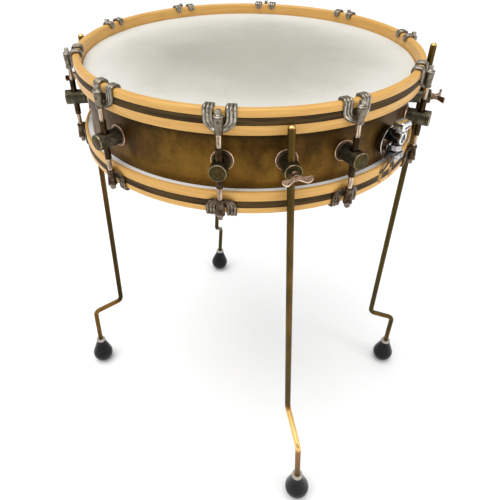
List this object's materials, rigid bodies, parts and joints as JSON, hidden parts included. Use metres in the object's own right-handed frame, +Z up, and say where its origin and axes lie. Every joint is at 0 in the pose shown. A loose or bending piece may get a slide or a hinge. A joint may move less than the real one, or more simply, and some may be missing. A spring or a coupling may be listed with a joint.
{
  "type": "snare drum",
  "caption": "Shallow, wide snare drum standing on bent adjustable legs: brass shell, inlaid wooden hoops, tube lugs with claw hooks, coated head, throw-off strainer and snare wires.",
  "frame": {"origin": "on the floor, straight below the drum's axis", "axes": "+Z up along the drum's axis, -Y from the axis towards tube lug 1, +X towards the right leg"},
  "size_m": [0.633, 0.5979, 0.6762],
  "materials": {
    "maple": "satin clear-lacquered wood with a dark inlaid stripe",
    "aged_brass": "raw brass with a brown blotchy patina",
    "dark_brass": "dark olive patina with worn bright edges",
    "pewter": "worn dull plating with brown in its recesses",
    "leg_brass": "dark olive-brown patina, golden where rubbed",
    "coated_white": "rough white coating with a smudged centre",
    "clear_white": "hazy film, slightly glossy",
    "rubber": "matt black",
    "chrome": "bright plating",
    "steel_wire": "bright coiled wire",
    "black_strap": "flat woven strap"
  },
  "bodies": {
    "drum": {"shell": "aged_brass", "top_hoop": "maple", "bottom_hoop": "maple", "batter_head": "coated_white", "snare_side_head": "clear_white", "tube_lug_1": "dark_brass", "tube_lug_2": "dark_brass", "tube_lug_3": "dark_brass", "tube_lug_4": "dark_brass", "tube_lug_5": "dark_brass", "tube_lug_6": "dark_brass", "tube_lug_7": "dark_brass", "tube_lug_8": "dark_brass", "tube_lug_9": "dark_brass", "tube_lug_10": "dark_brass", "top_claw_1": "pewter", "top_claw_2": "pewter", "top_claw_3": "pewter", "top_claw_4": "pewter", "top_claw_5": "pewter", "top_claw_6": "pewter", "top_claw_7": "pewter", "top_claw_8": "pewter", "top_claw_9": "pewter", "top_claw_10": "pewter", "bottom_claw_1": "pewter", "bottom_claw_2": "pewter", "bottom_claw_3": "pewter", "bottom_claw_4": "pewter", "bottom_claw_5": "pewter", "bottom_claw_6": "pewter", "bottom_claw_7": "pewter", "bottom_claw_8": "pewter", "bottom_claw_9": "pewter", "bottom_claw_10": "pewter", "front_leg_bracket": "dark_brass", "right_leg_bracket": "dark_brass", "back_leg_bracket": "dark_brass", "left_leg_bracket": "dark_brass", "strainer_base": "chrome", "butt_plate": "chrome", "butt_jaw": "chrome", "butt_strap": "black_strap", "snare_wires": "steel_wire"},
    "front_leg": {"front_leg": "leg_brass", "front_foot": "rubber"},
    "front_wing_screw": {"front_wing_screw": "dark_brass"},
    "right_leg": {"right_leg": "leg_brass", "right_foot": "rubber"},
    "right_wing_screw": {"right_wing_screw": "dark_brass"},
    "back_leg": {"back_leg": "leg_brass", "back_foot": "rubber"},
    "back_wing_screw": {"back_wing_screw": "dark_brass"},
    "left_leg": {"left_leg": "leg_brass", "left_foot": "rubber"},
    "left_wing_screw": {"left_wing_screw": "dark_brass"},
    "strainer_lever": {"strainer_lever": "chrome"},
    "strainer_slide": {"strainer_clamp": "chrome", "strainer_strap": "black_strap"},
    "strainer_knob": {"strainer_knob": "chrome"}
  },
  "joints": [
    {"name": "front_leg_height", "type": "slide", "parent": "drum", "child": "front_leg", "axis": [-0.0498, -0.0162, 0.9986], "range_m": [-0.035, 0.38]},
    {"name": "front_wing_turn", "type": "hinge", "parent": "drum", "child": "front_wing_screw", "pos_m": [0.08065, -0.24823, 0.60125], "axis": [0.309, -0.9511, 0], "continuous": true},
    {"name": "right_leg_height", "type": "slide", "parent": "drum", "child": "right_leg", "axis": [0, -0.0523, 0.9986], "range_m": [-0.035, 0.38]},
    {"name": "right_wing_turn", "type": "hinge", "parent": "drum", "child": "right_wing_screw", "pos_m": [0.261, 0, 0.60125], "axis": [1, 0, 0], "continuous": true},
    {"name": "back_leg_height", "type": "slide", "parent": "drum", "child": "back_leg", "axis": [0.0498, 0.0162, 0.9986], "range_m": [-0.035, 0.38]},
    {"name": "back_wing_turn", "type": "hinge", "parent": "drum", "child": "back_wing_screw", "pos_m": [-0.08065, 0.24823, 0.60125], "axis": [-0.309, 0.9511, 0], "continuous": true},
    {"name": "left_leg_height", "type": "slide", "parent": "drum", "child": "left_leg", "axis": [0, 0.0523, 0.9986], "range_m": [-0.035, 0.38]},
    {"name": "left_wing_turn", "type": "hinge", "parent": "drum", "child": "left_wing_screw", "pos_m": [-0.261, 0, 0.60125], "axis": [-1, 0, 0], "continuous": true},
    {"name": "strainer_throw", "type": "hinge", "parent": "drum", "child": "strainer_lever", "pos_m": [0.19983, -0.14518, 0.60325], "axis": [0.809, -0.5878, 0], "range_deg": [0, 90]},
    {"name": "strainer_drop", "type": "slide", "parent": "drum", "child": "strainer_slide", "axis": [0, 0, 1], "range_m": [-0.005, 0]},
    {"name": "tension_knob_turn", "type": "hinge", "parent": "strainer_slide", "child": "strainer_knob", "pos_m": [0.19983, -0.14518, 0.59], "axis": [0, 0, 1], "continuous": true}
  ],
  "couplings": [
    {"joint": "strainer_drop", "follows": "strainer_throw", "m_per_rad": -0.00318}
  ]
}
